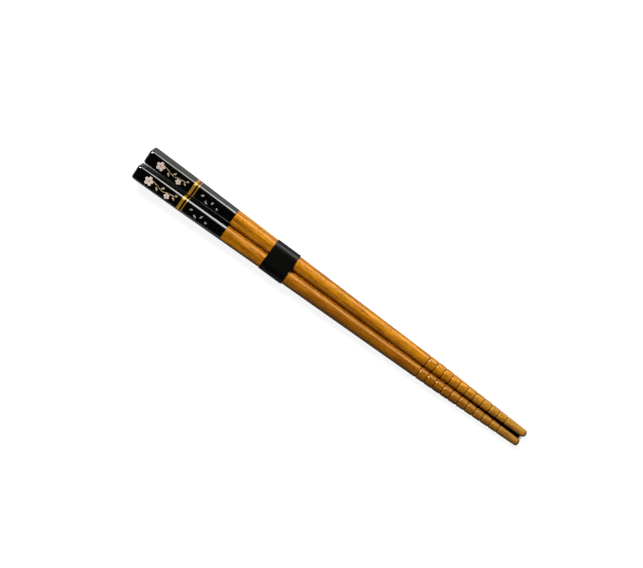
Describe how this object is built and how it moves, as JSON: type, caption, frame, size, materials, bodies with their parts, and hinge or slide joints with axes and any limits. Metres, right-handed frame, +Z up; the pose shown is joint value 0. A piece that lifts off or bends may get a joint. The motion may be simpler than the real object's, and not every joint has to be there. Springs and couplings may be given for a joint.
{
  "type": "pair of wooden chopsticks",
  "caption": "Banded pair of wooden chopsticks: square lacquered handles that turn into slim round tapers with ring grooves near the tips.",
  "frame": {"origin": "on the table, under the middle of the pair's length", "axes": "+X from the handles to the tips, +Y to the left stick, +Z up from the table"},
  "size_m": [0.2305, 0.0191, 0.0109],
  "materials": {
    "varnished_wood": "satin",
    "black_paper": "satin",
    "black_lacquer": "gloss",
    "ivory_print": "gloss",
    "gold_print": "gloss",
    "silver_print": "gloss"
  },
  "bodies": {
    "root": {"left_chopstick": "varnished_wood", "right_chopstick": "varnished_wood", "paper_band": "black_paper"}
  },
  "joints": []
}
